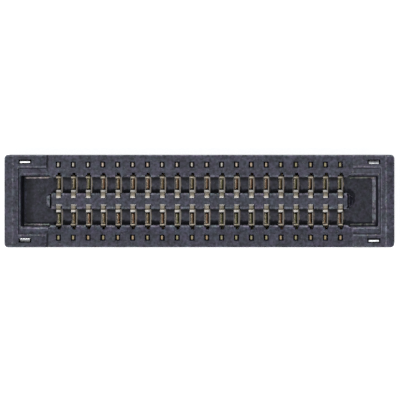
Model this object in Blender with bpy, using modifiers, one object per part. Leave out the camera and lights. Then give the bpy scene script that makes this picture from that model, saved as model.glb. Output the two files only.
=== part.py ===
# Board-to-board receptacle for a flexible circuit: a moulded housing, two rows
# of blanked fork contacts and two formed solder straps.
# Metres, +Z up, +X along the rows, the face of the board at z = 0.

import math

import bmesh
import bpy
from mathutils import Matrix

MM = 0.001

# Rows
POSITIONS = 20
PITCH = 0.40 * MM
FIT_GAP = 0.005 * MM

# Heights above the board
HEIGHT = 0.98 * MM
STANDOFF = 0.03 * MM
TOWER_RISE = 0.12 * MM
END_RIM_RISE = 0.02 * MM
ISLAND_DROP = 0.05 * MM
SOCKET_DEPTH = 0.52 * MM

# Housing across the rows
ISLAND_WIDTH = 0.433 * MM
ISLAND_SPINE = 0.17 * MM
CHANNEL_WIDTH = 0.4285 * MM
WALL_SLOT_DEPTH = 0.12 * MM
RIB_THICKNESS = 0.136 * MM
WINDOW_LENGTH = 0.165 * MM
WINDOW_WIDTH = 0.14 * MM
WINDOW_DEPTH = 0.28 * MM
OUTER_WALL = 0.184 * MM
WALL_LEAD_IN = 0.19 * MM
WALL_LEAD_IN_DROP = 0.05 * MM
CHANNEL_EDGE = 0.055 * MM
CHANNEL_EDGE_DROP = 0.02 * MM
ISLAND_EDGE = 0.045 * MM
ISLAND_EDGE_DROP = 0.03 * MM
SLOT_LEFT_ROOM = 0.01 * MM
SLOT_RIGHT_ROOM = 0.03 * MM
SLOT_BACK_ROOM = 0.02 * MM
SLOT_RELIEF_WIDTH = 0.085 * MM
SLOT_RELIEF_SHIFT = 0.02 * MM

# Housing along the rows
ISLAND_END = 0.23 * MM
ISLAND_ROOT = 0.05 * MM
NOSE_LENGTH = 0.10 * MM
NOSE_DROP = 0.16 * MM
NOSE_CHAMFER = 0.10 * MM
NOSE_GROOVE = 0.04 * MM
NOSE_GROOVE_DEPTH = 0.22 * MM
POCKET_LENGTH = 0.78 * MM
END_WALL = 0.44 * MM
NECK_SETBACK = 0.04 * MM
NECK_CLEARANCE = 0.02 * MM
TOWER_SETBACK = 0.09 * MM
END_BAND = 0.22 * MM
END_BAND_DROP = 0.03 * MM
END_RIM_SLOPE = 0.03 * MM
CORNER_RADIUS = 0.10 * MM
CORNER_SEGMENTS = 4
EDGE_CHAMFER = 0.025 * MM

# Pocket, from its floor up: sloping ledge, drafted wall, edge, flat ledge, riser and top edge
POCKET_RELIEF = 0.045 * MM
POCKET_RADIUS = 0.03 * MM
FLOOR_LEDGE = 0.04 * MM
FLOOR_LEDGE_END = 0.09 * MM
FLOOR_LEDGE_RISE = 0.035 * MM
POCKET_DRAFT = 0.038 * MM
LEAD_EDGE = 0.045 * MM
LEAD_EDGE_DROP = 0.05 * MM
LEAD_LEDGE = 0.14 * MM
LEAD_LEDGE_RISE = 0.01 * MM
LEAD_RISER = 0.02 * MM
LEAD_TOP = 0.035 * MM
LEAD_TOP_DROP = 0.025 * MM
LEAD_END_SHARE = 0.34

# Contacts
CONTACT_THICKNESS = 0.12 * MM
POST_WIDTH = 0.11 * MM
POST_DROP = 0.09 * MM
POST_POINT = 0.10 * MM
POST_POINT_LAND = 0.05 * MM
BARB = 0.007 * MM
BARB_HEIGHT = 0.42 * MM
BARB_LENGTH = 0.06 * MM
TAIL_HEIGHT = 0.10 * MM
TAIL_SETBACK = 0.03 * MM
BEAM_LIFT = 0.05 * MM
BEAM_DEPTH = 0.12 * MM
OUTER_ARM_WIDTH = 0.065 * MM
OUTER_ARM_PROUD = 0.02 * MM
OUTER_ARM_DROP = 0.07 * MM
OUTER_BUMP = 0.02 * MM
OUTER_BUMP_REACH = 0.09 * MM
INNER_ARM_WIDTH = 0.06 * MM
INNER_ARM_REACH = 0.075 * MM
INNER_BUMP = 0.022 * MM
INNER_BUMP_DROP = 0.15 * MM
INNER_BUMP_REACH = 0.135 * MM
SHOULDER = 0.06 * MM
SHOULDER_RISE = 0.018 * MM
HOOK_DROP = 0.012 * MM
HOOK_LENGTH = 0.075 * MM
HOOK_THICKNESS = 0.04 * MM
BEND_RADIUS = 0.045 * MM

# Solder straps
STRAP_THICKNESS = 0.07 * MM
STRAP_INNER_RADIUS = 0.02 * MM
STRAP_WIDTH = 0.28 * MM
STRAP_FOOT_WIDTH = 0.42 * MM
STRAP_FOOT_RISE = 0.12 * MM
STRAP_DROP = 0.05 * MM
STRAP_BEVEL = 0.05 * MM
STRAP_LEAN_LENGTH = 0.14 * MM
STRAP_BARB = 0.02 * MM
STRAP_BARB_HEIGHT = 0.50 * MM
STRAP_BARB_LENGTH = 0.10 * MM
STRAP_SLOT_GAP_ALONG = 0.035 * MM
STRAP_SLOT_GAP_ACROSS = 0.025 * MM
STRAP_SLOT_WALL = 0.13 * MM
STRAP_FROM_END = 0.555 * MM

# Worked out across the rows
ISLAND_FACE = ISLAND_WIDTH / 2
SPINE_FACE = ISLAND_SPINE / 2
CHANNEL_FACE = ISLAND_FACE + CHANNEL_WIDTH
ARM_FACE = CHANNEL_FACE - OUTER_ARM_PROUD
ARM_SLOT_BACK = ARM_FACE + OUTER_ARM_WIDTH + SLOT_BACK_ROOM
WALL_SLOT_BACK = CHANNEL_FACE + WALL_SLOT_DEPTH
WINDOW_INNER = WALL_SLOT_BACK + RIB_THICKNESS
WINDOW_OUTER = WINDOW_INNER + WINDOW_LENGTH
HALF_WIDTH = WINDOW_OUTER + OUTER_WALL
POST_CENTRE = (WINDOW_INNER + WINDOW_OUTER) / 2

# Worked out along the rows
ROW_HALF = (POSITIONS - 1) * PITCH / 2
CONTACT_SLOT_WIDTH = CONTACT_THICKNESS + SLOT_LEFT_ROOM + SLOT_RIGHT_ROOM
CONTACT_SLOT_SHIFT = (SLOT_RIGHT_ROOM - SLOT_LEFT_ROOM) / 2
ISLAND_HALF = ROW_HALF + ISLAND_END
POCKET_END = ISLAND_HALF + POCKET_LENGTH
HALF_LENGTH = POCKET_END + END_WALL
TOWER_START = ISLAND_HALF + TOWER_SETBACK
NECK = ISLAND_HALF - NECK_SETBACK
STRAP_CENTRE = HALF_LENGTH - STRAP_FROM_END

# Worked out heights
TOWER_TOP = HEIGHT - END_RIM_RISE
WALL_TOP = HEIGHT - TOWER_RISE
ISLAND_TOP = WALL_TOP - ISLAND_DROP
SOCKET_FLOOR = WALL_TOP - SOCKET_DEPTH
BEAM_TOP = BEAM_LIFT + BEAM_DEPTH

# Building allowances
BEYOND = 0.5 * MM
OVERLAP = 0.09 * MM
WELD = 0.00001 * MM
SMOOTH_ANGLE = 35.0


def new_collection(name):
    collection = bpy.data.collections.new(name)
    bpy.context.scene.collection.children.link(collection)
    return collection


def new_material(name, colour, roughness, metallic):
    material = bpy.data.materials.new(name)
    material.use_nodes = True
    shader = material.node_tree.nodes["Principled BSDF"]
    shader.inputs["Base Color"].default_value = (*colour, 1.0)
    shader.inputs["Roughness"].default_value = roughness
    shader.inputs["Metallic"].default_value = metallic
    return material


def new_object(name, mesh, collection):
    item = bpy.data.objects.new(name, mesh)
    collection.objects.link(item)
    return item


def new_tool(name, mesh):
    tool = new_object(name, mesh, TOOLS)
    tool.hide_render = True
    tool.display_type = "WIRE"
    return tool


def evaluated_mesh(item):
    graph = bpy.context.evaluated_depsgraph_get()
    return bpy.data.meshes.new_from_object(item.evaluated_get(graph))


def combine(item, tool, operation):
    step = item.modifiers.new(tool.name, "BOOLEAN")
    step.operation = operation
    step.solver = "EXACT"
    step.object = tool


def box_mesh(name, low, high):
    mesh = bpy.data.meshes.new(name)
    shape = bmesh.new()
    bmesh.ops.create_cube(shape, size=1.0)
    for vert in shape.verts:
        for axis in range(3):
            share = vert.co[axis] + 0.5
            vert.co[axis] = low[axis] + share * (high[axis] - low[axis])
    shape.to_mesh(mesh)
    shape.free()
    return mesh


def rounded(corners):
    """Outline from (a, b, radius, segments) corners, each turned into an arc."""
    points = []
    for index, (a, b, radius, segments) in enumerate(corners):
        before = corners[index - 1]
        after = corners[(index + 1) % len(corners)]
        if radius <= 0:
            points.append((a, b))
            continue
        back = math.atan2(before[1] - b, before[0] - a)
        ahead = math.atan2(after[1] - b, after[0] - a)
        half = (ahead - back) / 2
        middle = back + half
        if math.cos(half) < 0 and abs(half) > math.pi / 2:
            middle += math.pi
            half -= math.copysign(math.pi, half)
        reach = radius / abs(math.sin(half))
        centre = (a + reach * math.cos(middle), b + reach * math.sin(middle))
        sweep = math.pi - 2 * abs(half)
        turn = -math.copysign(sweep, half)
        start = middle + math.pi - turn / 2
        for step in range(segments + 1):
            angle = start + turn * step / segments
            points.append((centre[0] + radius * math.cos(angle), centre[1] + radius * math.sin(angle)))
    return points


def flat_mesh(name, points, thickness):
    """Mesh of a flat outline, drawn in local X and Y and thick along local Z."""
    curve = bpy.data.curves.new(name, "CURVE")
    curve.dimensions = "2D"
    curve.fill_mode = "BOTH"
    curve.extrude = thickness / 2
    spline = curve.splines.new("POLY")
    spline.points.add(len(points) - 1)
    for point, (a, b) in zip(spline.points, points):
        point.co = (a, b, 0.0, 1.0)
    spline.use_cyclic_u = True
    drawing = new_object(name, curve, TOOLS)
    mesh = evaluated_mesh(drawing)
    bpy.data.objects.remove(drawing)
    shape = bmesh.new()
    shape.from_mesh(mesh)
    bmesh.ops.remove_doubles(shape, verts=shape.verts, dist=WELD)
    bmesh.ops.recalc_face_normals(shape, faces=shape.faces)
    shape.to_mesh(mesh)
    shape.free()
    mesh.name = name
    return mesh


def shade(mesh):
    mesh.shade_smooth()
    mesh.set_sharp_from_angle(angle=math.radians(SMOOTH_ANGLE))


def across_rows(mesh):
    """Turns a flat outline of (y, z) points so that it is thick along X."""
    mesh.transform(Matrix.Rotation(math.pi / 2, 4, "Z") @ Matrix.Rotation(math.pi / 2, 4, "X"))
    return mesh


def loft_mesh(name, rings):
    """Closed body through rings of (z, points), each ring with as many points."""
    mesh = bpy.data.meshes.new(name)
    shape = bmesh.new()
    loops = [[shape.verts.new((x, y, z)) for x, y in points] for z, points in rings]
    for lower, upper in zip(loops, loops[1:]):
        for index in range(len(lower)):
            after = (index + 1) % len(lower)
            shape.faces.new((lower[index], lower[after], upper[after], upper[index]))
    shape.faces.new(list(reversed(loops[0])))
    shape.faces.new(loops[-1])
    bmesh.ops.recalc_face_normals(shape, faces=shape.faces)
    bmesh.ops.connect_verts_nonplanar(shape, angle_limit=math.radians(0.01), faces=shape.faces)
    shape.to_mesh(mesh)
    shape.free()
    return mesh


def repeat_in_rows(tool):
    """One tool at the first position of the rear row becomes two full rows."""
    row = tool.modifiers.new("row", "ARRAY")
    row.count = POSITIONS
    row.use_relative_offset = False
    row.use_constant_offset = True
    row.constant_offset_displace = (PITCH, 0.0, 0.0)
    mirror_tool(tool, (False, True, False))


def mirror_tool(tool, axes):
    mirror = tool.modifiers.new("mirror", "MIRROR")
    mirror.use_axis = axes
    mirror.use_mirror_merge = False


# Housing


def housing_block():
    low = (-HALF_LENGTH, -HALF_WIDTH, STANDOFF)
    high = (HALF_LENGTH, HALF_WIDTH, HEIGHT)
    mesh = box_mesh("housing", low, high)
    shape = bmesh.new()
    shape.from_mesh(mesh)
    upright = [e for e in shape.edges if e.verts[0].co.z != e.verts[1].co.z]
    bmesh.ops.bevel(
        shape, geom=upright, offset=CORNER_RADIUS, segments=CORNER_SEGMENTS, profile=0.5, affect="EDGES"
    )
    top = max(shape.faces, key=lambda face: face.calc_center_median().z)
    chamfer = EDGE_CHAMFER + END_RIM_RISE
    bmesh.ops.bevel(shape, geom=list(top.edges), offset=chamfer, segments=1, affect="EDGES")
    shape.to_mesh(mesh)
    shape.free()
    return new_object("housing", mesh, PARTS)


def end_band_tool():
    """Shapes the top along X: towers, a low rim past them and a slope to each end."""
    outer = HALF_LENGTH + BEYOND
    band = HALF_LENGTH - END_BAND
    side = [
        (band - END_RIM_SLOPE, TOWER_TOP),
        (band, HEIGHT),
        (outer, HEIGHT - (outer - band) * END_BAND_DROP / END_BAND),
        (outer, HEIGHT + BEYOND),
    ]
    points = side + [(-x, z) for x, z in reversed(side)]
    mesh = flat_mesh("end_band", points, 2 * (HALF_WIDTH + BEYOND))
    mesh.transform(Matrix.Rotation(math.pi / 2, 4, "X"))
    return new_tool("end_band", mesh)


def wall_top_tool():
    """Lowers the side walls between the two end towers, with a chamfered edge."""
    side = [
        (HALF_WIDTH - EDGE_CHAMFER, WALL_TOP),
        (HALF_WIDTH + BEYOND, WALL_TOP - EDGE_CHAMFER - BEYOND),
        (HALF_WIDTH + BEYOND, HEIGHT + BEYOND),
    ]
    points = side + [(-y, z) for y, z in reversed(side)]
    return new_tool("wall_top", across_rows(flat_mesh("wall_top", points, 2 * TOWER_START)))


def well_tool():
    """Clears the two channels and slopes the inner edge of the side walls."""
    edge = WALL_TOP - WALL_LEAD_IN_DROP
    slope = WALL_LEAD_IN_DROP / WALL_LEAD_IN
    side = [
        (CHANNEL_FACE, SOCKET_FLOOR),
        (CHANNEL_FACE, edge - CHANNEL_EDGE_DROP),
        (CHANNEL_FACE + CHANNEL_EDGE, edge + CHANNEL_EDGE * slope),
        (CHANNEL_FACE + WALL_LEAD_IN, WALL_TOP),
        (CHANNEL_FACE + WALL_LEAD_IN, HEIGHT + BEYOND),
    ]
    points = side + [(-y, z) for y, z in reversed(side)]
    return new_tool("well", across_rows(flat_mesh("well", points, 2 * (NECK + OVERLAP))))


def pocket_ring(reach, half_width):
    """Plan of a pocket at one height, with a sloping neck into the channels."""
    shoulder = min(NECK + half_width - CHANNEL_FACE, TOWER_START - NECK_CLEARANCE)
    start = NECK - OVERLAP
    start_half = CHANNEL_FACE - OVERLAP
    return rounded([
        (start, -start_half, 0, 0),
        (shoulder, -half_width, 0, 0),
        (reach, -half_width, POCKET_RADIUS, 2),
        (reach, half_width, POCKET_RADIUS, 2),
        (shoulder, half_width, 0, 0),
        (start, start_half, 0, 0),
    ])


def pocket_tool():
    wall = CHANNEL_FACE + POCKET_RELIEF
    edge = LEAD_EDGE
    ledge = edge + LEAD_LEDGE
    riser = ledge + LEAD_RISER
    top = riser + LEAD_TOP
    lead = [
        (WALL_TOP - LEAD_EDGE_DROP, 0.0),
        (WALL_TOP, edge),
        (WALL_TOP + LEAD_LEDGE_RISE, ledge),
        (TOWER_TOP - LEAD_TOP_DROP, riser),
        (TOWER_TOP, top),
        (HEIGHT + BEYOND, top),
    ]
    foot = POCKET_DRAFT + FLOOR_LEDGE_END
    rings = [
        (SOCKET_FLOOR, pocket_ring(POCKET_END - foot, wall - POCKET_DRAFT - FLOOR_LEDGE)),
        (SOCKET_FLOOR + FLOOR_LEDGE_RISE, pocket_ring(POCKET_END - POCKET_DRAFT, wall - POCKET_DRAFT)),
    ]
    rings += [(z, pocket_ring(POCKET_END + out * LEAD_END_SHARE, wall + out)) for z, out in lead]
    tool = new_tool("pocket", loft_mesh("pocket", rings))
    mirror_tool(tool, (True, False, False))
    return tool


def island_ring(half_length, half_width, chamfer):
    corners = []
    for sx, sy in ((1, 1), (-1, 1), (-1, -1), (1, -1)):
        tip = (sx * half_length, sy * (half_width - chamfer))
        side = (sx * (half_length - chamfer), sy * half_width)
        corners += [tip, side] if sx * sy > 0 else [side, tip]
    return corners


def island_tool():
    """Centre tongue between the channels, with a sloping nose at each end."""
    nose = ISLAND_HALF + NOSE_LENGTH
    root = SOCKET_FLOOR - ISLAND_ROOT
    top = ISLAND_HALF
    rings = [
        (root, island_ring(nose, ISLAND_FACE, NOSE_CHAMFER)),
        (ISLAND_TOP - NOSE_DROP, island_ring(nose, ISLAND_FACE, NOSE_CHAMFER)),
        (ISLAND_TOP - ISLAND_EDGE_DROP, island_ring(top, ISLAND_FACE, NOSE_CHAMFER / 2)),
        (ISLAND_TOP, island_ring(top - ISLAND_EDGE, ISLAND_FACE - ISLAND_EDGE, NOSE_CHAMFER / 2)),
    ]
    return new_tool("island", loft_mesh("island", rings))


def nose_groove_tool():
    """Narrow groove across the island where each nose starts."""
    low = (ISLAND_HALF - NOSE_GROOVE, -ISLAND_FACE - OVERLAP, ISLAND_TOP - NOSE_GROOVE_DEPTH)
    high = (ISLAND_HALF, ISLAND_FACE + OVERLAP, HEIGHT + BEYOND)
    tool = new_tool("nose_groove", box_mesh("nose_groove", low, high))
    mirror_tool(tool, (True, False, False))
    return tool


def contact_slot_tool():
    """Slot for the body of one contact, open from below and in the channel."""
    under = STANDOFF - BEYOND
    post_back = POST_CENTRE + POST_WIDTH / 2 + SLOT_BACK_ROOM
    points = [
        (SPINE_FACE, under),
        (HALF_WIDTH + BEYOND, under),
        (HALF_WIDTH + BEYOND, TAIL_HEIGHT + FIT_GAP),
        (post_back, TAIL_HEIGHT + FIT_GAP),
        (post_back, BEAM_TOP + FIT_GAP),
        (ARM_SLOT_BACK, BEAM_TOP + FIT_GAP),
        (ARM_SLOT_BACK, HEIGHT + BEYOND),
        (SPINE_FACE, HEIGHT + BEYOND),
    ]
    mesh = across_rows(flat_mesh("contact_slot", points, CONTACT_SLOT_WIDTH))
    mesh.transform(Matrix.Translation((CONTACT_SLOT_SHIFT - ROW_HALF, 0.0, 0.0)))
    tool = new_tool("contact_slot", mesh)
    repeat_in_rows(tool)
    return tool


def column_tool(name, along, across, bottom, top):
    """Upright hole beside each contact; along X it is measured from the contact's middle."""
    low = (along[0] - ROW_HALF, across[0], bottom)
    high = (along[1] - ROW_HALF, across[1], top)
    tool = new_tool(name, box_mesh(name, low, high))
    repeat_in_rows(tool)
    return tool


def slot_relief_tool():
    """Narrow core opening behind the outer arm of each contact."""
    half = SLOT_RELIEF_WIDTH / 2
    along = (SLOT_RELIEF_SHIFT - half, SLOT_RELIEF_SHIFT + half)
    across = (ARM_SLOT_BACK - SLOT_BACK_ROOM, WALL_SLOT_BACK)
    return column_tool("slot_relief", along, across, BEAM_LIFT, HEIGHT + BEYOND)


def post_slot_tool():
    half = CONTACT_THICKNESS / 2 + FIT_GAP
    reach = POST_WIDTH / 2 + FIT_GAP
    across = (POST_CENTRE - reach, POST_CENTRE + reach)
    return column_tool("post_slot", (-half, half), across, TAIL_HEIGHT, WALL_TOP - WINDOW_DEPTH / 2)


def window_tool():
    half = WINDOW_WIDTH / 2
    across = (WINDOW_INNER, WINDOW_OUTER)
    return column_tool("window", (-half, half), across, WALL_TOP - WINDOW_DEPTH, HEIGHT + BEYOND)


def strap_outer():
    return HALF_WIDTH - STRAP_SLOT_WALL


def strap_slot_tool():
    """Upright slots that take the two legs of each solder strap."""
    reach = STRAP_WIDTH / 2 + STRAP_SLOT_GAP_ALONG
    inner = strap_outer() - STRAP_THICKNESS - 2 * STRAP_SLOT_GAP_ACROSS
    low = (STRAP_CENTRE - reach, inner, STANDOFF - BEYOND)
    high = (STRAP_CENTRE + reach, strap_outer(), HEIGHT + BEYOND)
    tool = new_tool("strap_slot", box_mesh("strap_slot", low, high))
    mirror_tool(tool, (True, True, False))
    return tool


def strap_recess_tool():
    """Shallow trough in the underside that the foot of the strap lies in."""
    reach = STRAP_FOOT_WIDTH / 2 + FIT_GAP
    low = (STRAP_CENTRE - reach, -strap_outer(), STANDOFF - BEYOND)
    high = (STRAP_CENTRE + reach, strap_outer(), STRAP_FOOT_RISE + FIT_GAP)
    tool = new_tool("strap_recess", box_mesh("strap_recess", low, high))
    mirror_tool(tool, (True, False, False))
    return tool


def make_housing():
    housing = housing_block()
    combine(housing, end_band_tool(), "DIFFERENCE")
    combine(housing, wall_top_tool(), "DIFFERENCE")
    combine(housing, well_tool(), "DIFFERENCE")
    combine(housing, pocket_tool(), "DIFFERENCE")
    combine(housing, island_tool(), "UNION")
    combine(housing, nose_groove_tool(), "DIFFERENCE")
    combine(housing, contact_slot_tool(), "DIFFERENCE")
    combine(housing, slot_relief_tool(), "DIFFERENCE")
    combine(housing, post_slot_tool(), "DIFFERENCE")
    combine(housing, window_tool(), "DIFFERENCE")
    combine(housing, strap_slot_tool(), "DIFFERENCE")
    combine(housing, strap_recess_tool(), "DIFFERENCE")
    housing.data.materials.append(new_material("black_moulding", (0.052, 0.052, 0.062), 0.55, 0.0))


# Contacts


def contact_outline():
    """Blanked fork in (y, z): tail, post with barbs, beam and two arms."""
    tail = HALF_WIDTH - TAIL_SETBACK
    post_out = POST_CENTRE + POST_WIDTH / 2
    post_in = POST_CENTRE - POST_WIDTH / 2
    post_top = WALL_TOP - POST_DROP
    barb_foot = BARB_HEIGHT - BARB_LENGTH
    arm_in = ARM_FACE
    arm_out = arm_in + OUTER_ARM_WIDTH
    arm_top = WALL_TOP - OUTER_ARM_DROP
    inner_out = ISLAND_FACE + INNER_ARM_REACH
    inner_in = inner_out - INNER_ARM_WIDTH
    root_out = inner_out + INNER_BUMP
    bump = ISLAND_TOP - INNER_BUMP_DROP
    hook_top = ISLAND_TOP - HOOK_DROP
    hook_end = SPINE_FACE + FIT_GAP
    tight = BEND_RADIUS / 2
    return rounded([
        (tail, 0.0, 0, 0),
        (tail, TAIL_HEIGHT, 0, 0),
        (post_out - BARB, TAIL_HEIGHT, 0, 0),
        (post_out - BARB, barb_foot, 0, 0),
        (post_out, barb_foot, 0, 0),
        (post_out - BARB, BARB_HEIGHT, 0, 0),
        (post_out - BARB, post_top, 0, 0),
        (post_in + BARB, post_top, 0, 0),
        (post_in + BARB, BARB_HEIGHT, 0, 0),
        (post_in, barb_foot, 0, 0),
        (post_in + BARB, barb_foot, 0, 0),
        (post_in + BARB, BEAM_TOP, 0, 0),
        (arm_out, BEAM_TOP, tight / 2, 1),
        (arm_out, arm_top, tight, 2),
        (arm_in, arm_top, tight / 2, 1),
        (arm_in - OUTER_BUMP, arm_top - OUTER_BUMP_REACH, 0, 0),
        (arm_in, arm_top - 2 * OUTER_BUMP_REACH, 0, 0),
        (arm_in, BEAM_TOP, BEND_RADIUS, 2),
        (root_out, BEAM_TOP, BEND_RADIUS, 2),
        (inner_out, bump - INNER_BUMP_REACH, 0, 0),
        (root_out, bump, tight, 2),
        (root_out - SHOULDER, bump + SHOULDER_RISE, tight, 1),
        (hook_end + HOOK_LENGTH, hook_top, BEND_RADIUS, 2),
        (hook_end, hook_top, tight, 2),
        (hook_end, hook_top - HOOK_THICKNESS, 0, 0),
        (hook_end + HOOK_LENGTH / 2, hook_top - HOOK_THICKNESS, tight, 1),
        (root_out - INNER_ARM_WIDTH, bump - INNER_ARM_WIDTH / 2, tight, 1),
        (inner_in, bump - INNER_BUMP_REACH, 0, 0),
        (inner_in, BEAM_LIFT, BEND_RADIUS, 2),
        (post_in, BEAM_LIFT, 0, 0),
        (post_in + BEAM_LIFT, 0.0, 0, 0),
    ])


def post_point_tool(side):
    """Slope that narrows the top of the post to its land, on one side."""
    full = CONTACT_THICKNESS / 2
    land = POST_POINT_LAND / 2
    top = WALL_TOP - POST_DROP
    slope = (full - land) / POST_POINT
    points = [
        (full + slope * BEYOND, top - POST_POINT - BEYOND),
        (land - slope * BEYOND, top + BEYOND),
        (full + BEYOND, top + BEYOND),
    ]
    points = [(side * x, z) for x, z in points]
    mesh = flat_mesh("post_point", points, WINDOW_LENGTH)
    mesh.transform(Matrix.Translation((0.0, POST_CENTRE, 0.0)) @ Matrix.Rotation(math.pi / 2, 4, "X"))
    return new_tool("post_point", mesh)


def contact_mesh():
    blank = new_object("contact", across_rows(flat_mesh("contact", contact_outline(), CONTACT_THICKNESS)), TOOLS)
    combine(blank, post_point_tool(1), "DIFFERENCE")
    combine(blank, post_point_tool(-1), "DIFFERENCE")
    mesh = evaluated_mesh(blank)
    bpy.data.objects.remove(blank)
    shade(mesh)
    mesh.materials.append(new_material("gold_contact", (0.55, 0.42, 0.24), 0.35, 1.0))
    return mesh


def make_contacts():
    mesh = contact_mesh()
    for row, turn in (("rear", 0.0), ("front", math.pi)):
        for position in range(POSITIONS):
            contact = new_object(f"contact_{row}_{position + 1:02d}", mesh, PARTS)
            contact.location = (position * PITCH - ROW_HALF, 0.0, 0.0)
            contact.rotation_euler = (0.0, 0.0, turn)


# Solder straps


def strap_outline():
    """Strap in (y, z): foot under the housing and two legs, one leaning."""
    outer = strap_outer() - STRAP_SLOT_GAP_ACROSS
    inner = outer - STRAP_THICKNESS
    top = HEIGHT - STRAP_DROP
    knee = top - STRAP_LEAN_LENGTH
    lean = STRAP_SLOT_GAP_ACROSS - FIT_GAP
    return rounded([
        (-outer, 0.0, STRAP_THICKNESS, 3),
        (outer, 0.0, STRAP_THICKNESS, 3),
        (outer, top, 0, 0),
        (inner, top, 0, 0),
        (inner, STRAP_THICKNESS, STRAP_INNER_RADIUS, 1),
        (-inner, STRAP_THICKNESS, STRAP_INNER_RADIUS, 1),
        (-inner, knee, 0, 0),
        (-inner + lean, top, 0, 0),
        (-outer, top - STRAP_BEVEL, 0, 0),
        (-outer, knee, 0, 0),
    ])


def strap_face():
    """Strap seen along Y, in (x, z): wide foot, narrow legs and their barbs."""
    half = STRAP_WIDTH / 2
    foot = STRAP_FOOT_WIDTH / 2
    barb_foot = STRAP_BARB_HEIGHT - STRAP_BARB_LENGTH
    side = [
        (foot, -BEYOND, 0, 0),
        (foot, STRAP_FOOT_RISE, 0, 0),
        (half, STRAP_FOOT_RISE, 0, 0),
        (half, barb_foot, 0, 0),
        (half + STRAP_BARB, barb_foot, 0, 0),
        (half, STRAP_BARB_HEIGHT, 0, 0),
        (half, HEIGHT + BEYOND, 0, 0),
    ]
    return rounded(side + [(-x, z, r, n) for x, z, r, n in reversed(side)])


def strap_mesh():
    profile = across_rows(flat_mesh("strap", strap_outline(), STRAP_FOOT_WIDTH + BEYOND))
    strap = new_object("strap", profile, TOOLS)
    face = flat_mesh("strap_face", strap_face(), 2 * (HALF_WIDTH + BEYOND))
    face.transform(Matrix.Rotation(math.pi / 2, 4, "X"))
    combine(strap, new_tool("strap_face", face), "INTERSECT")
    mesh = evaluated_mesh(strap)
    bpy.data.objects.remove(strap)
    shade(mesh)
    mesh.materials.append(new_material("tinned_strap", (0.72, 0.72, 0.71), 0.3, 1.0))
    return mesh


def make_straps():
    mesh = strap_mesh()
    for name, side, turn in (("solder_strap_left", -1, 0.0), ("solder_strap_right", 1, math.pi)):
        strap = new_object(name, mesh, PARTS)
        strap.location = (side * STRAP_CENTRE, 0.0, 0.0)
        strap.rotation_euler = (0.0, 0.0, turn)


for old in list(bpy.data.objects):
    bpy.data.objects.remove(old)
PARTS = new_collection("flex_receptacle")
TOOLS = new_collection("flex_receptacle_tools")
make_housing()
make_contacts()
make_straps()
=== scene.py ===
import math

import bmesh
import bpy
from mathutils import Matrix, Vector


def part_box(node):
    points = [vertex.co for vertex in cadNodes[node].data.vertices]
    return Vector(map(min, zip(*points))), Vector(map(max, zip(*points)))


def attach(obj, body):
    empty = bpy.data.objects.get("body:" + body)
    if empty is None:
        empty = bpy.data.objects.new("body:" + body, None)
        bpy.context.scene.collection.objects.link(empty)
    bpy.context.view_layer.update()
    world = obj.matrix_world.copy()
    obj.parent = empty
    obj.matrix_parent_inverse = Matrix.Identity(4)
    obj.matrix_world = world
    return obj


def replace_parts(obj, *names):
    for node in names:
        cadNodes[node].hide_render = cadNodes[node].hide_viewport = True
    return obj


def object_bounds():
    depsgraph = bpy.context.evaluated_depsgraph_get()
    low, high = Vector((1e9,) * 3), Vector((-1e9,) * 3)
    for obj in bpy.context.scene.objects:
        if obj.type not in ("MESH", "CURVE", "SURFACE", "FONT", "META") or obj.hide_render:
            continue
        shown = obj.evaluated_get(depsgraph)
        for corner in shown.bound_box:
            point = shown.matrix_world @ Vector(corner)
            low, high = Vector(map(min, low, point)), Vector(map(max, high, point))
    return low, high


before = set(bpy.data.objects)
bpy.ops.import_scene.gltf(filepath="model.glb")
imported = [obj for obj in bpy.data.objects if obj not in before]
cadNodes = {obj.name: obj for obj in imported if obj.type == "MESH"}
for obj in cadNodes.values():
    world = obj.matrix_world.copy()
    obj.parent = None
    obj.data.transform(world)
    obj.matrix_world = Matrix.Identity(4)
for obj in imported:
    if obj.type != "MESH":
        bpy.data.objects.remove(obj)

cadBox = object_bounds()
mm = 0.001
print("frame loaded:", len(cadNodes), "nodes")


# Camera, straight above the socket

cameraSetup = {
    "pixelSize": 0.02695 * mm,      # real size of one pixel, measured at the sharp height
    "sharpHeight": 0.80 * mm,
    "imagePixels": 400,
    "centrePixel": (199.4, 201.1),  # where the centre of the part sits in the picture
    "lens": 330.0,
    "sensor": 36.0,
    "clip": (2 * mm, 1000 * mm),
}


def addObject(name, data):
    item = bpy.data.objects.new(name, data)
    bpy.context.scene.collection.objects.link(item)
    return item


def makeCamera(setup):
    data = bpy.data.cameras.new("topCamera")
    data.lens = setup["lens"]
    data.sensor_width = setup["sensor"]
    data.clip_start, data.clip_end = setup["clip"]
    width = setup["imagePixels"] * setup["pixelSize"]
    half = setup["imagePixels"] / 2
    x = (half - setup["centrePixel"][0]) * setup["pixelSize"]
    y = (setup["centrePixel"][1] - half) * setup["pixelSize"]
    camera = addObject("topCamera", data)
    camera.location = (x, y, setup["sharpHeight"] + width * setup["lens"] / setup["sensor"])
    bpy.context.scene.camera = camera


makeCamera(cameraSetup)
print("camera set")


# Light: a small key lamp near the camera, a weak one from behind, and a pale room

lightSetup = {
    "keyDirection": (-0.27, -0.27, 1.0),
    "keyStrength": 1.95,
    "keyAngle": 4.0,
    "backDirection": (0.10, 0.42, 1.0),
    "backStrength": 0.30,
    "backAngle": 16.0,
    "worldColour": (0.90, 0.94, 1.0),
    # what falls on matt surfaces, darkest from the ceiling: sine of the height, strength
    "worldSteps": ((0.0, 0.62), (0.55, 0.60), (0.80, 0.24), (0.945, 0.18), (0.975, 0.03)),
    "floorColour": 0.86,
    "floorLift": 0.72,              # added where the floor is seen or mirrored, to make it white
    "underPart": 0.05 * mm,         # no full lift from this far inside the part's outline
    # painted light on the floor under the part, where the slots show it: millimetres from the
    # centre line, strength
    "slotLift": ((0.22, 0.0), (0.23, 0.22), (0.65, 0.22), (0.66, 0.0)),
    # warm tint of that painted light
    "slotTint": (1.0, 0.92, 0.85),
    "floorSize": 400 * mm,
}


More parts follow.
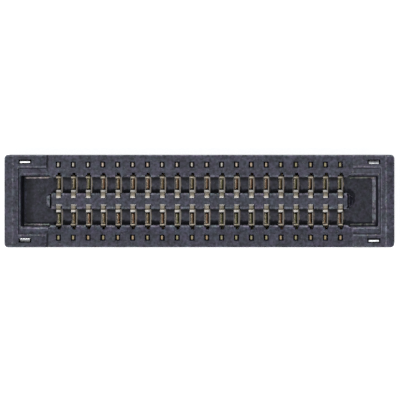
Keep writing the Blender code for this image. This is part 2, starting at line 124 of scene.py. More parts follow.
def makeSun(name, setup):
    data = bpy.data.lights.new(name + "Light", "SUN")
    data.energy = setup[name + "Strength"]
    data.angle = math.radians(setup[name + "Angle"])
    lamp = addObject(name + "Light", data)
    lamp.rotation_mode = "QUATERNION"
    lamp.rotation_quaternion = Vector(setup[name + "Direction"]).to_track_quat("Z", "Y")


# Small helpers for node trees


def feed(tree, socket, value):
    if isinstance(value, bpy.types.NodeSocket):
        tree.links.new(value, socket)
    elif isinstance(value, tuple) and socket.type == "RGBA":
        socket.default_value = (*value, 1.0)
    else:
        socket.default_value = value


def addNode(tree, kind, values, settings=None):
    node = tree.nodes.new(kind)
    for key, value in (settings or {}).items():
        setattr(node, key, value)
    for key, value in values.items():
        feed(tree, node.inputs[key], value)
    return node


def doMath(tree, operation, *terms):
    node = addNode(tree, "ShaderNodeMath", dict(enumerate(terms)), {"operation": operation})
    return node.outputs[0]


def multiply(tree, first, second):
    return doMath(tree, "MULTIPLY", first, second)


def mapRange(tree, value, span, target=(0.0, 1.0)):
    values = {"Value": value, "From Min": span[0], "From Max": span[1],
              "To Min": target[0], "To Max": target[1]}
    return addNode(tree, "ShaderNodeMapRange", values).outputs["Result"]


def spread(tree, value, target):
    return mapRange(tree, value, (0.0, 1.0), target)


def mixColour(tree, factor, first, second, blend="MIX"):
    settings = {"data_type": "RGBA", "blend_type": blend}
    return addNode(tree, "ShaderNodeMix", {0: factor, 6: first, 7: second}, settings).outputs[2]


def splitAxes(tree, vector):
    return addNode(tree, "ShaderNodeSeparateXYZ", {0: vector}).outputs


def readAttribute(tree, name, output="Fac"):
    return addNode(tree, "ShaderNodeAttribute", {}, {"attribute_name": name}).outputs[output]


def addRamp(tree, value, steps):
    node = addNode(tree, "ShaderNodeValToRGB", {"Fac": value})
    for index, (position, level) in enumerate(steps):
        stops = node.color_ramp.elements
        stop = stops[index] if index < 2 else stops.new(position)
        stop.position = position
        stop.color = (level, level, level, 1.0)
    return node.outputs["Color"]


def addNoise(tree, vector, scale, detail, span, roughness=0.5):
    values = {"Vector": vector, "Scale": scale, "Detail": detail, "Roughness": roughness}
    return mapRange(tree, addNode(tree, "ShaderNodeTexNoise", values).outputs[0], span)


def addBump(tree, shader, height, look):
    values = {"Strength": look["bump"], "Distance": look["bumpDepth"], "Height": height}
    feed(tree, shader.inputs["Normal"], addNode(tree, "ShaderNodeBump", values).outputs[0])


def newGroup(name, inputs, outputs):
    tree = bpy.data.node_groups.new(name, "ShaderNodeTree")
    for label, kind in inputs.items():
        tree.interface.new_socket(name=label, in_out="INPUT", socket_type=kind)
    for label in outputs:
        tree.interface.new_socket(name=label, in_out="OUTPUT", socket_type="NodeSocketFloat")
    return tree, tree.nodes.new("NodeGroupInput").outputs, tree.nodes.new("NodeGroupOutput").inputs


def placeGroup(tree, group, values):
    node = tree.nodes.new("ShaderNodeGroup")
    node.node_tree = group
    for key, value in values.items():
        feed(tree, node.inputs[key], value)
    return node.outputs


def seenRays(tree):
    rays = tree.nodes.new("ShaderNodeLightPath").outputs
    mirrored = doMath(tree, "MAXIMUM", rays["Is Glossy Ray"], rays["Is Transmission Ray"])
    return doMath(tree, "MAXIMUM", rays["Is Camera Ray"], mirrored)


# The room and the floor under the part


def makeWorld(setup):
    world = bpy.data.worlds.new("paleRoom")
    world.use_nodes = True
    tree = world.node_tree
    background = tree.nodes["Background"]
    background.inputs["Color"].default_value = (*setup["worldColour"], 1.0)
    direction = tree.nodes.new("ShaderNodeTexCoord").outputs["Generated"]
    room = addRamp(tree, splitAxes(tree, direction)["Z"], setup["worldSteps"])
    strength = doMath(tree, "MAXIMUM", room, seenRays(tree))
    feed(tree, background.inputs["Strength"], strength)
    bpy.context.scene.world = world


def makeFloorMaterial(setup):
    material = bpy.data.materials.new("whiteFloor")
    material.use_nodes = True
    tree = material.node_tree
    tree.nodes.clear()
    output = tree.nodes.new("ShaderNodeOutputMaterial")
    matt = addNode(tree, "ShaderNodeBsdfDiffuse", {"Color": (setup["floorColour"],) * 3})
    axes = splitAxes(tree, tree.nodes.new("ShaderNodeTexCoord").outputs["Object"])
    along, across = (doMath(tree, "ABSOLUTE", axes[name]) for name in "XY")
    outside = [doMath(tree, "GREATER_THAN", value, reach - setup["underPart"])
               for value, reach in ((along, cadBox[1].x), (across, cadBox[1].y))]
    openFloor = doMath(tree, "MAXIMUM", *outside)
    # painted light on the floor seen through the slots
    under = addRamp(tree, doMath(tree, "DIVIDE", across, mm), setup["slotLift"])
    level = spread(tree, openFloor, (under, setup["floorLift"]))
    tint = mixColour(tree, openFloor, setup["slotTint"], (1.0, 1.0, 1.0))
    strength = multiply(tree, seenRays(tree), level)
    lift = addNode(tree, "ShaderNodeEmission", {"Color": tint, "Strength": strength})
    both = addNode(tree, "ShaderNodeAddShader", {0: matt.outputs[0], 1: lift.outputs[0]})
    tree.links.new(both.outputs[0], output.inputs["Surface"])
    return material


def makeFloor(setup):
    mesh = bpy.data.meshes.new("floor")
    shape = bmesh.new()
    bmesh.ops.create_grid(shape, x_segments=1, y_segments=1, size=setup["floorSize"] / 2)
    shape.to_mesh(mesh)
    shape.free()
    mesh.transform(Matrix.Translation((0.0, 0.0, cadBox[0].z)))
    mesh.materials.append(makeFloorMaterial(setup))
    floor = addObject("floor", mesh)


makeSun("key", lightSetup)
makeSun("back", lightSetup)
makeWorld(lightSetup)
makeFloor(lightSetup)
bpy.context.scene.view_settings.view_transform = "Standard"
print("light and floor set")


# Surface effects that the materials share; a span is the stretch of noise that fills 0 to 1

textureSetup = {
    "patchDetail": 2.0,
    "patchSpan": (0.35, 0.65),
    "shadeScale": 0.7,              # broad shades are this much coarser than the patches
    "shadeDetail": 1.0,
    "grainDetail": 3.0,
    "grainRoughness": 0.62,
    "grainSpan": (0.32, 0.68),
    "fleckSpan": (0.24, 0.10),
    "markDetail": 3.0,
    "markSpan": (0.3, 0.7),
    "cloudSize": 4.0,               # in marks
    "cloudDetail": 2.0,
    "cloudSpan": (0.35, 0.65),
}


def makeMouldTexture(setup):
    inputs = {"Vector": "NodeSocketVector", "Patch Size": "NodeSocketFloat",
              "Grain Size": "NodeSocketFloat"}
    tree, given, made = newGroup("mouldTexture", inputs, ["Patch", "Shade", "Grain", "Fleck"])
    vector = given["Vector"]
    patchScale = doMath(tree, "DIVIDE", 1.0, given["Patch Size"])
    grainScale = doMath(tree, "DIVIDE", 1.0, given["Grain Size"])
    shadeScale = multiply(tree, patchScale, setup["shadeScale"])
    cells = addNode(tree, "ShaderNodeTexVoronoi", {"Vector": vector, "Scale": grainScale})
    results = {
        "Patch": addNoise(tree, vector, patchScale, setup["patchDetail"], setup["patchSpan"]),
        "Shade": addNoise(tree, vector, shadeScale, setup["shadeDetail"], setup["patchSpan"]),
        "Grain": addNoise(tree, vector, grainScale, setup["grainDetail"], setup["grainSpan"],
                          setup["grainRoughness"]),
        "Fleck": mapRange(tree, cells.outputs["Distance"], setup["fleckSpan"]),
    }
    for name, value in results.items():
        feed(tree, made[name], value)
    return tree


def makeToolMarks(setup):
    inputs = {"Vector": "NodeSocketVector", "Spacing": "NodeSocketFloat",
              "Stretch": "NodeSocketVector"}
    tree, given, made = newGroup("toolMarks", inputs, ["Marks", "Cloud"])
    stretched = addNode(tree, "ShaderNodeVectorMath", {0: given["Vector"], 1: given["Stretch"]},
                        {"operation": "MULTIPLY"}).outputs[0]
    scale = doMath(tree, "DIVIDE", 1.0, given["Spacing"])
    slow = doMath(tree, "DIVIDE", scale, setup["cloudSize"])
    marks = addNoise(tree, stretched, scale, setup["markDetail"], setup["markSpan"])
    cloud = addNoise(tree, given["Vector"], slow, setup["cloudDetail"], setup["cloudSpan"])
    feed(tree, made["Marks"], marks)
    feed(tree, made["Cloud"], cloud)
    return tree


mouldTexture = makeMouldTexture(textureSetup)
toolMarks = makeToolMarks(textureSetup)


def newSurface(name, settings):
    material = bpy.data.materials.new(name)
    material.use_nodes = True
    tree = material.node_tree
    shader = tree.nodes["Principled BSDF"]
    for key, value in settings.items():
        shader.inputs[key].default_value = value
    place = tree.nodes.new("ShaderNodeTexCoord").outputs["Object"]
    return material, tree, shader, place


# Small helpers for shapes

meshSetup = {
    "weld": 0.0002 * mm,
    "flatWithin": 0.4,              # degrees; flatter edges than this are dissolved
    "sharpFrom": 12.0,              # creases over this many degrees stay crisp,
    "roundUpTo": 30.0,              # but round a corner at one slope they are smooth up to this
    "oneSlope": 0.05,
}


def cleanCopy(node):
    shape = bmesh.new()
    shape.from_mesh(cadNodes[node].data)
    bmesh.ops.remove_doubles(shape, verts=shape.verts, dist=meshSetup["weld"])
    bmesh.ops.dissolve_limit(shape, angle_limit=math.radians(meshSetup["flatWithin"]),
                             verts=shape.verts, edges=shape.edges)
    return shape


def isRidge(edge, angle):
    return len(edge.link_faces) == 2 and edge.calc_face_angle_signed(0.0) > math.radians(angle)


def roundEdges(shape, edges, width, steps, clamped=False):
    made = bmesh.ops.bevel(shape, geom=edges, offset=width, segments=steps, profile=0.5,
                           affect="EDGES", clamp_overlap=clamped)
    return made["faces"]


def markCreases(shape):
    for face in shape.faces:
        face.smooth = True
    for edge in shape.edges:
        if len(edge.link_faces) != 2:
            continue
        first, second = (face.normal for face in edge.link_faces)
        angle = math.degrees(edge.calc_face_angle(0.0))
        level = abs(first.z - second.z) < meshSetup["oneSlope"]
        edge.smooth = angle < meshSetup["sharpFrom"] or (level and angle < meshSetup["roundUpTo"])


def finishMesh(name, shape):
    mesh = bpy.data.meshes.new(name)
    shape.to_mesh(mesh)
    shape.free()
    return mesh


def finishPiece(name, shape, material):
    mesh = finishMesh(name, shape)
    mesh.materials.append(material)
    return addObject(name, mesh)


# Black moulded housing

housing = {
    "coolTint": (0.0230, 0.0278, 0.0410),
    "warmTint": (0.0312, 0.0262, 0.0480),
    "fleckTint": (0.15, 0.148, 0.15),
    "fleckShare": 0.4,
    "contrast": (0.30, 1.70),       # darkest and lightest grain
    "glossContrast": (0.55, 1.45),
    "patchContrast": (0.75, 1.25),
    "patchSize": 0.18 * mm,
    "grainSize": 0.08 * mm,
    "roughness": (0.50, 0.66),
    "specular": 0.10,
    "coat": 0.40,                   # most of the gloss, which falls away with the painted shade in the corners
    "coatRoughness": 0.56,
    "polishAndPaintedLight": 0.16,                 # how much smoother the light edges are
    "polishSpan": (1.0, 2.3),       # tone at which they begin to be, and are in full
    "bump": 0.4,
    "bumpDepth": 0.004 * mm,
    # painted highlight and shade, kept on each face, and multiplies its colour
    "tones": {
        "plain": (1.0, 1.0, 1.0),
        "edge": (3.0, 3.0, 2.4),        # painted highlight on sloped faces and rounded edges
        "backEdge": (5.0, 5.0, 3.8),    # painted highlight on those that face the rear, away from the key lamp
        "ledge": (11.0, 11.0, 6.2),     # painted highlight on the sloped ledge round each pocket floor
        # painted highlight on the rear ledges
        "backLedge": (22.0, 22.0, 13.0),
        "endLedge": (4.2, 4.2, 3.2),    # painted highlight at the right end of the right pocket
        "leftLedge": (2.6, 2.6, 2.6),   # painted light at the left end of the left pocket
        "nose": (6.0, 6.0, 4.4),        # painted highlight on the sloped left end of the island
        "shaded": (0.50, 0.50, 0.50),   # painted shade on its right end, which faces away from the key lamp
        "window": (4.0, 4.0, 4.0),      # painted light inside the small windows over the contact tails
        "rim": (4.2, 3.3, 1.5),         # painted light on the right-hand rim of each slot, as if lit by the gold beside it
        "wall": (0.45, 0.45, 0.45),     # painted shade on upright faces inside, and on the grooves across the island
        "floor": (0.62, 0.62, 0.62),    # painted shade on the pocket floors
    },
    "rightLedge": 0.5,              # share of the painted highlight on the side ledges of the right pocket
    # where the tones go
    "upright": 0.3,                 # a face whose normal points up less than this is upright,
    "flat": 0.95,                   # and more than this is flat
    "facing": 0.3,                  # a slope whose normal points this much one way faces it
    "bevelFacing": 0.2,
    "rowX": 3.95 * mm,              # where the rows of contacts end
    "islandX": 4.15 * mm,
    "insideX": 5.10 * mm,
    "insideY": 1.10 * mm,
    "windowY": 0.88 * mm,
    "windowTop": 0.85 * mm,
    "ledgeTop": 0.45 * mm,
    "grooveTop": 0.65 * mm,
    # shade low in the channels, which grows towards the wall and the island
    "shadeHeight": (0.54 * mm, 0.40 * mm),  # none above, full below
    "shadeReach": 0.67 * mm,        # none in the ends of the contact slots, past the channels
    "wallSide": (0.51 * mm, 0.60 * mm),
    "islandSide": (0.34 * mm, 0.26 * mm),
    "cornerShade": 0.15,
    "channelShade": 0.8,            # in the rest of the channels
    "pocketEnd": (-4.46 * mm, -4.60 * mm),  # painted shade: the left pocket is darker at its end
    "endShade": 0.5,
    # painted shade in dark lines across: X of the middle and width each way, then the level
    "wallLine": (-4.754 * mm, 0.018 * mm),  # along the end wall of the left pocket
    "wallLineShade": 0.1,
    "jointLine": (-4.085 * mm, 0.018 * mm), # where the row walls meet the left end
    "jointFrom": 0.80 * mm,
    "jointShade": 0.35,
    "noseLine": (-4.006 * mm, 0.022 * mm),  # groove between the island and its left nose
    "noseReach": 0.19 * mm,
    "noseShade": 0.05,
    "frontSpan": 1.3,               # painted highlight and shade in the row below: millimetres towards the front and a level
    "frontBand": ((0.0, 1.0), (0.665, 1.0), (0.68, 1.3), (0.80, 1.3), (0.86, 0.9), (1.3, 0.9)),
    # rounded edges
    "edgeWidth": 0.014 * mm,
    "edgeSteps": 2,
    "edgeAngle": 22.0,
    "edgeLowest": 0.45 * mm,
    "edgeRoom": 1.8,                # widths that the faces beside an edge need to be rounded
    "square": 0.9,
    "smallFace": 0.10 * mm * mm,    # slot and window walls keep sharp rims,
    "strapSlots": (4.45 * mm, 0.96 * mm),   # and so does all beyond this X and Y
    "outerRim": 0.1 * mm,           # as far as this from the outer wall
    "slotWidth": 0.024 * mm,        # rounded right-hand rim of each slot in the channels
    "slotSteps": 3,
    "slotAngle": 60.0,
    "slotHeight": (0.19 * mm, 0.38 * mm),
}
tones = housing["tones"]


def plasticColour(tree, texture):
    colour = mixColour(tree, texture["Patch"], housing["coolTint"], housing["warmTint"])
    grain = spread(tree, texture["Grain"], housing["contrast"])
    broad = spread(tree, texture["Shade"], housing["patchContrast"])
    colour = mixColour(tree, 1.0, colour, multiply(tree, grain, broad), "MULTIPLY")
    fleck = multiply(tree, texture["Fleck"], housing["fleckShare"])
    return mixColour(tree, fleck, colour, housing["fleckTint"])


# painted shade low in the channels and at the left pocket end, painted dark lines in the grooves
# and joints, and a painted highlight band in front
def plasticShade(tree, place):
    axes = splitAxes(tree, place)
    along, across = (doMath(tree, "ABSOLUTE", axes[name]) for name in "XY")

    def darken(shade, mask, name):
        return multiply(tree, shade, spread(tree, mask, (1.0, housing[name])))

    inChannel = doMath(tree, "LESS_THAN", across, housing["shadeReach"])
    deep = multiply(tree, mapRange(tree, axes["Z"], housing["shadeHeight"]), inChannel)
    nearWall = mapRange(tree, across, housing["wallSide"])
    nearIsland = mapRange(tree, across, housing["islandSide"])
    corner = doMath(tree, "MAXIMUM", nearWall, nearIsland)
    low = spread(tree, corner, (housing["channelShade"], housing["cornerShade"]))
    inRow = doMath(tree, "LESS_THAN", along, housing["rowX"])
    shade = spread(tree, multiply(tree, deep, inRow), (1.0, low))
    atEnd = multiply(tree, deep, mapRange(tree, axes["X"], housing["pocketEnd"]))
    shade = darken(shade, atEnd, "endShade")
    lines = (("wallLine", deep),
             ("jointLine", doMath(tree, "GREATER_THAN", across, housing["jointFrom"])),
             ("noseLine", doMath(tree, "LESS_THAN", across, housing["noseReach"])))
    levels = ("wallLineShade", "jointShade", "noseShade")
    for (name, stretch), level in zip(lines, levels):
        onLine = doMath(tree, "COMPARE", axes["X"], *housing[name])
        shade = darken(shade, multiply(tree, onLine, stretch), level)
    # painted highlight and shade in bands towards the front
    # a ramp holds no level over 1, so it has half of them
    span = housing["frontSpan"]
    steps = [(y / span, level / 2) for y, level in housing["frontBand"]]
    band = addRamp(tree, doMath(tree, "DIVIDE", axes["Y"], -span * mm), steps)
    return multiply(tree, shade, multiply(tree, band, 2.0))


def makePlastic():
    settings = {"Specular IOR Level": housing["specular"],
                "Coat Roughness": housing["coatRoughness"]}
    material, tree, shader, place = newSurface("mouldedBlack", settings)
    sizes = {"Patch Size": housing["patchSize"], "Grain Size": housing["grainSize"]}
    texture = placeGroup(tree, mouldTexture, {"Vector": place, **sizes})
    # the painted highlight and shade of each face, scaled by the painted shade of its place
    tone = {0: readAttribute(tree, "tone", "Vector"), "Scale": plasticShade(tree, place)}
    level = addNode(tree, "ShaderNodeVectorMath", tone, {"operation": "SCALE"}).outputs[0]
    tinted = addNode(tree, "ShaderNodeVectorMath", {0: plasticColour(tree, texture), 1: level},
                     {"operation": "MULTIPLY"}).outputs[0]
    feed(tree, shader.inputs["Base Color"], tinted)
    first = splitAxes(tree, level)["X"]
    coat = spread(tree, first, (0.0, housing["coat"]))
    uneven = spread(tree, texture["Grain"], housing["glossContrast"])
    feed(tree, shader.inputs["Coat Weight"], multiply(tree, coat, uneven))
    rough = spread(tree, texture["Grain"], housing["roughness"])
    polishAndPaintedLight = mapRange(tree, first, housing["polishSpan"], (0.0, housing["polishAndPaintedLight"]))
    feed(tree, shader.inputs["Roughness"], doMath(tree, "SUBTRACT", rough, polishAndPaintedLight))
    addBump(tree, shader, texture["Grain"], housing)
    return material


# picks the painted highlight and shade of a sloped face by the way it faces the key lamp
def slopeTone(face, centre, low):
    island = abs(face.normal.x) > housing["facing"] and abs(centre.x) < housing["islandX"]
    back = face.normal.y > housing["facing"]
    if (island or low) and face.normal.x > housing["facing"]:
        return tones["shaded" if centre.x > 0 else "leftLedge"]
    if low and face.normal.x < -housing["facing"]:
        return tones["endLedge"]
    if low:
        share = housing["rightLedge"] if centre.x > 0 else 1.0
        return [share * part for part in tones["backLedge" if back else "ledge"]]
    return tones["nose" if island else "backEdge" if back else "edge"]


# picks the painted highlight and shade of each face
def faceTone(face):
    centre = face.calc_center_median()
    sloped = housing["upright"] < face.normal.z < housing["flat"]
    if abs(centre.x) > housing["insideX"] or abs(centre.y) > housing["insideY"]:
        return tones["edge" if sloped else "plain"]
    pastRow = abs(centre.x) > housing["rowX"]
    inWindow = abs(centre.y) > housing["windowY"] and centre.z < housing["windowTop"]
    if inWindow and abs(centre.x) < housing["rowX"]:
        return tones["window"]
    if abs(face.normal.z) < housing["upright"]:
        return tones["wall"]
    low = centre.z < housing["ledgeTop"]
    if sloped:
        return slopeTone(face, centre, low)
    if pastRow and not low and centre.z < housing["grooveTop"]:
        return tones["wall"]
    return tones["floor" if low and pastRow else "plain"]


def middleOf(edge):
    return (edge.verts[0].co + edge.verts[1].co) / 2


def inStrapSlot(middle):
    slotX, slotY = housing["strapSlots"]
    outer = cadBox[1].y - housing["outerRim"]
    return slotX < abs(middle.x) < housing["insideX"] and slotY < abs(middle.y) < outer


def isSlotWall(face):
    if abs(face.normal.z) >= housing["upright"]:
        return False
    return abs(face.normal.x) > housing["square"] or face.calc_area() < housing["smallFace"]


def isOpenEdge(edge):
    middle = middleOf(edge)
    if middle.z < housing["edgeLowest"] or not isRidge(edge, housing["edgeAngle"]):
        return False
    if inStrapSlot(middle):
        return False
    if abs(middle.x) < housing["rowX"] and any(isSlotWall(face) for face in edge.link_faces):
        return False
    least = housing["edgeWidth"] * edge.calc_length() * housing["edgeRoom"]
    return all(face.calc_area() > least for face in edge.link_faces)


def isSlotRim(edge):
    lowest, highest = housing["slotHeight"]
    if not lowest <= middleOf(edge).z <= highest or not isRidge(edge, housing["slotAngle"]):
        return False
    normals = [face.normal for face in edge.link_faces]
    facesLeft = any(normal.x < -housing["square"] for normal in normals)
    return facesLeft and any(normal.z > housing["square"] for normal in normals)


def makeHousing():
    shape = cleanCopy("housing")
    layer = shape.faces.layers.float_vector.new("tone")
    for face in shape.faces:
        face[layer] = faceTone(face)
    rims = [edge for edge in shape.edges if isSlotRim(edge)]
    # painted light on the rounded slot rims
    for face in roundEdges(shape, rims, housing["slotWidth"], housing["slotSteps"]):
        face[layer] = tones["rim"]
    edges = [edge for edge in shape.edges if isOpenEdge(edge)]
    # painted highlight on the other rounded edges
    for face in roundEdges(shape, edges, housing["edgeWidth"], housing["edgeSteps"]):
        face[layer] = tones["backEdge" if face.normal.y > housing["bevelFacing"] else "edge"]
    print("housing: rounded", len(edges), "edges and", len(rims), "slot rims")
    markCreases(shape)
    piece = finishPiece("mouldedHousing", shape, makePlastic())
    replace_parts(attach(piece, "root"), "housing")


makeHousing()
print("housing dressed")


# Gold plated spring contacts

gold = {
    "bright": (1.0, 0.88, 0.68),
    "cloud": (0.66, 0.53, 0.36),
    "cloudShare": 0.55,
    "highlightColour": (1.0, 0.95, 0.88),      # painted highlight on the tips and bumps
    "deep": ((0.29, 0.27, 0.12), (0.45, 0.25, 0.14)),   # painted shade low down: the two ends of its colours
    "deepSpread": (0.2, 0.8),       # how soon a contact has one or the other
    "deepTo": 0.18 * mm,
    "brightFrom": 0.66 * mm,
    "dullest": 0.45,                # share of the bright colour left on the dullest contact
    "posts": ((0.43, 0.42, 0.39), (0.26, 0.24, 0.125)), # rear, front: painted light and shade, lighter at the rear
    "postFrom": 0.90 * mm,
    "postTurn": (0.8 * mm, 2.4 * mm),   # along X, where the rear ones turn to the painted front colour
    "postDeep": 0.5,                # most of the deep colour that a post can have
    "postShade": (-0.1, 0.2),       # across the thickness: painted shade on the right side
    # in the rows below, millimetres from the centre line and a level; the first two are painted
    # light and shade along each contact
    "span": 1.25,
    "rearPaintedLight": ((0.0, 0.75), (0.108, 0.75), (0.122, 0.38), (0.16, 0.46), (0.19, 0.65),
                   (0.215, 0.5), (0.245, 0.42), (0.27, 0.6), (0.33, 0.42), (0.57, 0.42),
                   (0.60, 0.6), (0.645, 0.5), (0.66, 0.1), (0.69, 0.25), (0.72, 1.0)),
    "frontPaintedLight": ((0.0, 0.55), (0.105, 0.55), (0.12, 0.18), (0.145, 0.25), (0.175, 0.6),
                    (0.205, 0.4), (0.235, 0.35), (0.252, 0.9), (0.27, 0.7), (0.30, 0.42),
                    (0.56, 0.38), (0.60, 0.75), (0.64, 0.75), (0.648, 0.03), (0.69, 0.05),
                    (0.72, 1.0)),
    "highlightShare": ((0.0, 1.0), (0.12, 1.0), (0.135, 0.0), (0.235, 0.0), (0.255, 0.9), (0.30, 0.9),
             (0.32, 0.0)),
    "satin": ((0.0, 1.0), (0.108, 1.0), (0.122, 0.5), (0.225, 0.5), (0.245, 0.8), (0.265, 0.8),
              (0.28, 0.0), (0.57, 0.0), (0.60, 0.5)),
    "satinRough": 0.48,
    "satinMetal": 0.45,
    "roughness": (0.24, 0.38),
    "markSpacing": 0.02 * mm,
    "markStretch": (1.0, 1.0, 0.2),
    "bump": 0.25,
    "bumpDepth": 0.002 * mm,
    "rolledFrom": (-0.05, -0.22),   # across the thickness: the left side is rolled and satin, with a painted pale sheen
    "rolledSheenTint": (0.62, 0.55, 0.45),
    "rolledRough": 0.12,
    "paintedShadeTint": (0.13, 0.11, 0.085),   # painted shade on sloped faces turned aside
    "pointUp": (0.1, 0.9),
    "pointAside": 0.3,
    "tipFrom": 0.115 * mm,          # the tip, closer than this to the centre line, is drawn out
    "tipScale": 0.84,
    # edges of the two sides: which way along X, width, steps
    "sides": ((-1, 0.012 * mm, 3), (1, 0.006 * mm, 1)),
    "sideFlat": 0.99,
    "sideTurn": 0.5,
    "creaseAngle": 40.0,
    "wobble": math.radians(0.5),
    "shift": 0.003 * mm,
    "rearSeed": 3,
    "frontSeed": 11,
    "seedSteps": (0.0, 7.0, 13.0),  # of the turn, the shift and the plating
}


def goldBase(tree, plating, axes, cloud):
    deep = mixColour(tree, mapRange(tree, plating, gold["deepSpread"]), *gold["deep"])
    top = mixColour(tree, multiply(tree, cloud, gold["cloudShare"]), gold["bright"], gold["cloud"])
    dull = spread(tree, plating, (1.0 - gold["dullest"], 0.0))
    top = mixColour(tree, dull, top, deep)
    # darker towards the bottom: painted shade
    height = mapRange(tree, axes["Z"], (gold["deepTo"], gold["brightFrom"]))
    return deep, mixColour(tree, height, deep, top)


def goldPosts(tree, plating, deep, axes, inFront, across):
    toRight = mapRange(tree, axes["X"], gold["postTurn"])
    post = mixColour(tree, doMath(tree, "MAXIMUM", inFront, toRight), *gold["posts"])
    post = mixColour(tree, multiply(tree, plating, gold["postDeep"]), post, deep)
    # painted shade on the right side of each post
    return mixColour(tree, mapRange(tree, across, gold["postShade"]), post, gold["paintedShadeTint"])


def makeGold():
    material, tree, shader, place = newSurface("goldPlating", {})
    settings = {"Spacing": gold["markSpacing"], "Stretch": gold["markStretch"]}
    marks = placeGroup(tree, toolMarks, {"Vector": place, **settings})
    axes = splitAxes(tree, place)
    distance = doMath(tree, "ABSOLUTE", axes["Y"])
    inFront = doMath(tree, "LESS_THAN", axes["Y"], 0.0)
    plating = readAttribute(tree, "plating")
    across = readAttribute(tree, "across")
    rolled = mapRange(tree, across, gold["rolledFrom"])

    def levelAlong(name):
        share = doMath(tree, "DIVIDE", distance, gold["span"] * mm)
        return addRamp(tree, share, [(y / gold["span"], level) for y, level in gold[name]])

    deep, colour = goldBase(tree, plating, axes, marks["Cloud"])
    # painted pale sheen on the rolled left side
    colour = mixColour(tree, rolled, colour, gold["rolledSheenTint"])
    # painted highlight on the tips and bumps
    colour = mixColour(tree, levelAlong("highlightShare"), colour, gold["highlightColour"])
    # painted light and shade along each contact, for the rear and the front row
    polishAndPaintedLight = mixColour(tree, inFront, levelAlong("rearPaintedLight"), levelAlong("frontPaintedLight"))
    colour = mixColour(tree, 1.0, colour, polishAndPaintedLight, "MULTIPLY")
    post = goldPosts(tree, plating, deep, axes, inFront, across)
    isPost = doMath(tree, "GREATER_THAN", distance, gold["postFrom"])
    colour = mixColour(tree, isPost, colour, post)
    # painted shade on sloped faces turned aside
    colour = mixColour(tree, readAttribute(tree, "point"), colour, gold["paintedShadeTint"])
    feed(tree, shader.inputs["Base Color"], colour)
    satin = levelAlong("satin")
    feed(tree, shader.inputs["Metallic"], spread(tree, satin, (1.0, gold["satinMetal"])))
    rough = spread(tree, marks["Marks"], gold["roughness"])
    rough = doMath(tree, "MULTIPLY_ADD", rolled, gold["rolledRough"], rough)
    rough = doMath(tree, "MULTIPLY_ADD", satin, gold["satinRough"], rough)
    feed(tree, shader.inputs["Roughness"], rough)
    addBump(tree, shader, marks["Marks"], gold)
    return material


def makeRowTree():
    tree = bpy.data.node_groups.new("contactRow", "GeometryNodeTree")
    tree.is_modifier = True
    inputs = {"Contact": "NodeSocketGeometry", "Count": "NodeSocketInt",
              "Pitch": "NodeSocketFloat", "Start": "NodeSocketVector",
              "Wobble": "NodeSocketFloat", "Shift": "NodeSocketFloat",
              "Seed": "NodeSocketInt", "Plating": "NodeSocketMaterial"}
    for label, kind in inputs.items():
        tree.interface.new_socket(name=label, in_out="INPUT", socket_type=kind)
    tree.interface.new_socket(name="Row", in_out="OUTPUT", socket_type="NodeSocketGeometry")
    given = tree.nodes.new("NodeGroupInput").outputs
    end = tree.nodes.new("NodeGroupOutput")
    turnStep, shiftStep, platingStep = gold["seedSteps"]

    def scatter(low, high, seedStep):
        values = {2: low, 3: high, "Seed": doMath(tree, "ADD", given["Seed"], seedStep)}
        return addNode(tree, "FunctionNodeRandomValue", values, {"data_type": "FLOAT"}).outputs[1]

    def eitherWay(name, seedStep):
        return scatter(multiply(tree, given[name], -1.0), given[name], seedStep)

    def vectorOf(axis, value):
        return addNode(tree, "ShaderNodeCombineXYZ", {axis: value}).outputs[0]

    values = {"Count": given["Count"], "Start Location": given["Start"],
              "Offset": vectorOf("X", given["Pitch"])}
    line = addNode(tree, "GeometryNodeMeshLine", values, {"mode": "OFFSET"})
    turn = vectorOf("Z", eitherWay("Wobble", turnStep))
    aside = vectorOf("X", eitherWay("Shift", shiftStep))
    moved = addNode(tree, "GeometryNodeSetPosition", {"Geometry": line.outputs[0], "Offset": aside})
    values = {"Points": moved.outputs[0], "Instance": given["Contact"], "Rotation": turn}
    copies = addNode(tree, "GeometryNodeInstanceOnPoints", values)
    values = {"Geometry": copies.outputs[0], "Name": "plating",
              "Value": scatter(0.0, 1.0, platingStep)}
    marked = addNode(tree, "GeometryNodeStoreNamedAttribute", values,
                     {"data_type": "FLOAT", "domain": "INSTANCE"})
    real = addNode(tree, "GeometryNodeRealizeInstances", {0: marked.outputs[0]})
    values = {"Geometry": real.outputs[0], "Material": given["Plating"]}
    plated = addNode(tree, "GeometryNodeSetMaterial", values)
    tree.links.new(plated.outputs[0], end.inputs["Row"])
    return tree


def isPoint(face):
    lowest, highest = gold["pointUp"]
    return lowest < face.normal.z < highest and abs(face.normal.x) > gold["pointAside"]


def turnsAway(edge):
    return any(abs(face.normal.x) < gold["sideTurn"] for face in edge.link_faces)


def contactShape(node):
    shape = cleanCopy(node)
    low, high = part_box(node)
    middle = (low.x + high.x) / 2
    across = shape.verts.layers.float.new("across")
    for vert in shape.verts:
        vert[across] = (vert.co.x - middle) / (high.x - low.x)
        if abs(vert.co.y) < gold["tipFrom"]:
            vert.co.y *= gold["tipScale"]
    point = shape.faces.layers.float.new("point")
    for face in shape.faces:
        face[point] = float(isPoint(face))
    for sign, width, steps in gold["sides"]:
        flat = [face for face in shape.faces if face.normal.x * sign > gold["sideFlat"]]
        rims = {edge for face in flat for edge in face.edges if turnsAway(edge)}
        roundEdges(shape, list(rims), width, steps, clamped=True)
    bmesh.ops.translate(shape, verts=shape.verts, vec=(-middle, 0.0, 0.0))
    return shape, middle


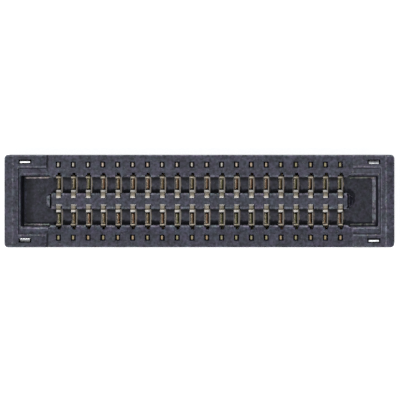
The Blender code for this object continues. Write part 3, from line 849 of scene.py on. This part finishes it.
def makeRow(name, prefix, tree, plating, seed):
    members = sorted(node for node in cadNodes if node.startswith(prefix))
    shape, first = contactShape(members[0])
    lowNext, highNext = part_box(members[1])
    pitch = (lowNext.x + highNext.x) / 2 - first
    master = addObject(name, finishMesh(name, shape))
    modifier = master.modifiers.new("row", "NODES")
    modifier.node_group = tree
    values = {"Count": len(members), "Pitch": pitch, "Start": (first, 0.0, 0.0), "Seed": seed,
              "Wobble": gold["wobble"], "Shift": gold["shift"], "Plating": plating}
    for item in tree.interface.items_tree:
        if item.name in values:
            modifier[item.identifier] = values[item.name]
    graph = bpy.context.evaluated_depsgraph_get()
    whole = bpy.data.meshes.new_from_object(master.evaluated_get(graph))
    master.modifiers.remove(modifier)
    master.data = whole
    whole.shade_smooth()
    whole.set_sharp_from_angle(angle=math.radians(gold["creaseAngle"]))
    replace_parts(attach(master, "root"), *members)
    print(name, "has", len(members), "contacts at", round(pitch / mm, 4), "mm")


goldPlating = makeGold()
rowTree = makeRowTree()
makeRow("rearContacts", "contact_rear", rowTree, goldPlating, gold["rearSeed"])
makeRow("frontContacts", "contact_front", rowTree, goldPlating, gold["frontSeed"])


# Tinned solder straps

tin = {
    "bright": (0.74, 0.74, 0.72),
    "dull": (0.50, 0.505, 0.51),
    "roughness": (0.25, 0.42),
    "markSpacing": 0.03 * mm,
    "markStretch": (1.0, 0.15, 0.15),
    "bump": 0.2,
    "bumpDepth": 0.002 * mm,
    "rim": (0.03, 0.03, 0.032),     # painted shade on top of the two flat legs, along the rear edge
    "legMiddle": 1.058 * mm,
    "litShift": 0.008 * mm,         # the strip begins this far behind the middle of the leg
    "edgeWidth": 0.014 * mm,
    "edgeSteps": 2,
    "edgeAngle": 30.0,
}


def makeTin():
    material, tree, shader, place = newSurface("tinPlating", {"Metallic": 1.0})
    settings = {"Spacing": tin["markSpacing"], "Stretch": tin["markStretch"]}
    marks = placeGroup(tree, toolMarks, {"Vector": place, **settings})
    colour = mixColour(tree, marks["Cloud"], tin["bright"], tin["dull"])
    axes = splitAxes(tree, place)
    flatLeg = doMath(tree, "LESS_THAN", multiply(tree, axes["X"], axes["Y"]), 0.0)
    side = doMath(tree, "SIGN", axes["Y"])
    middle = doMath(tree, "MULTIPLY_ADD", side, tin["legMiddle"], tin["litShift"])
    behind = doMath(tree, "GREATER_THAN", axes["Y"], middle)
    # painted shade on the strip along the rear edge of the two flat legs
    colour = mixColour(tree, multiply(tree, flatLeg, behind), colour, tin["rim"])
    feed(tree, shader.inputs["Base Color"], colour)
    feed(tree, shader.inputs["Roughness"], spread(tree, marks["Marks"], tin["roughness"]))
    addBump(tree, shader, marks["Marks"], tin)
    return material


def makeStraps():
    plating = makeTin()
    for side in ("left", "right"):
        node = "solder_strap_" + side
        shape = cleanCopy(node)
        edges = [edge for edge in shape.edges if isRidge(edge, tin["edgeAngle"])]
        roundEdges(shape, edges, tin["edgeWidth"], tin["edgeSteps"], clamped=True)
        markCreases(shape)
        piece = finishPiece(side + "SolderStrap", shape, plating)
        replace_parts(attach(piece, "root"), node)


makeStraps()
print("straps dressed")
